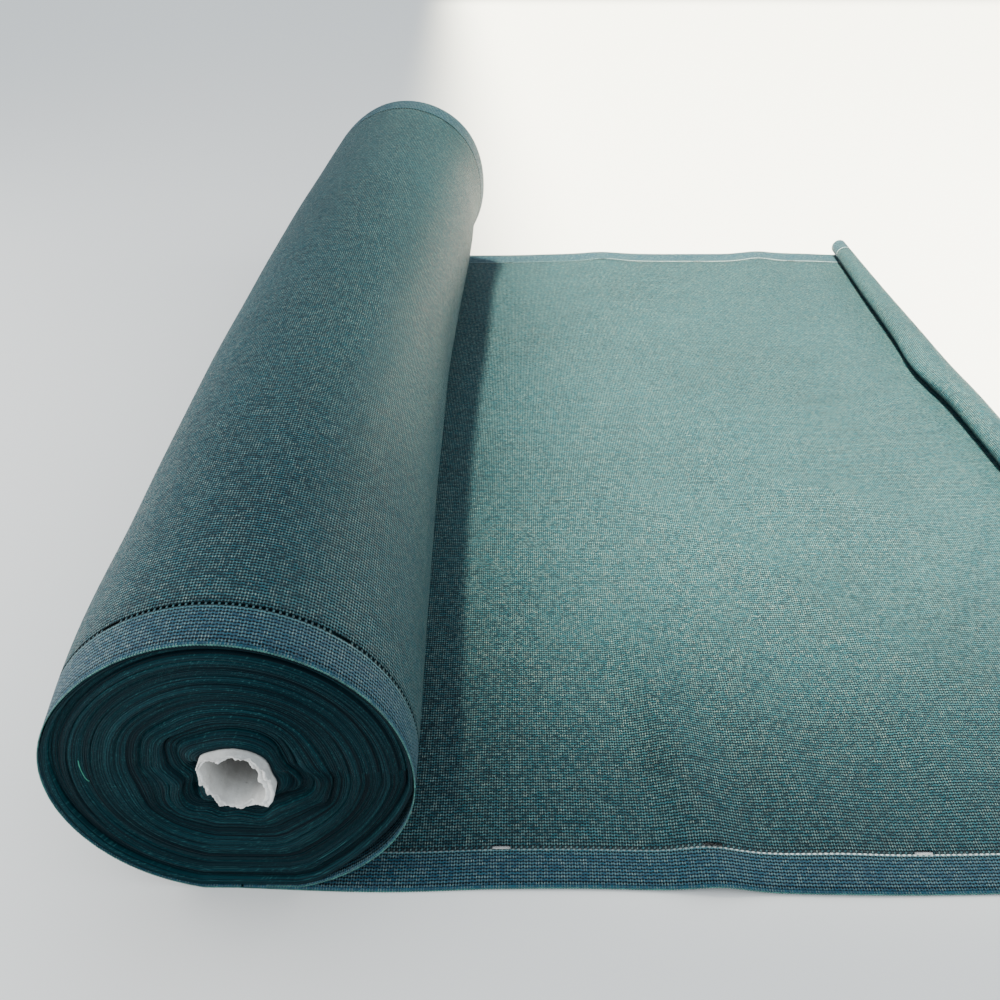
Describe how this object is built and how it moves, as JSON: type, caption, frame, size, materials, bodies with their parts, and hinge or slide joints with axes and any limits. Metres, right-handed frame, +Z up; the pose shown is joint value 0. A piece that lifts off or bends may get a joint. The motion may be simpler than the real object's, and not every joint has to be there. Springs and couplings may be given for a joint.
{
  "type": "shade cloth roll",
  "caption": "Wound roll of green knitted shade cloth on a paper core, partly unrolled flat, its free end curled back.",
  "frame": {"origin": "bottom centre of the whole object's box, on the floor", "axes": "+Y along the roll, away from the end that shows its turns; +X along the unrolled cloth, towards its free end; +Z up"},
  "size_m": [1.4152, 1.8605, 0.3822],
  "materials": {
    "wound_cloth": "glossy green plastic knit",
    "flat_cloth": "glossy green plastic knit",
    "paper": "torn matt paper"
  },
  "bodies": {
    "root": {"wound_roll": "wound_cloth", "loose_stretch": "flat_cloth", "paper_core": "paper"}
  },
  "joints": []
}
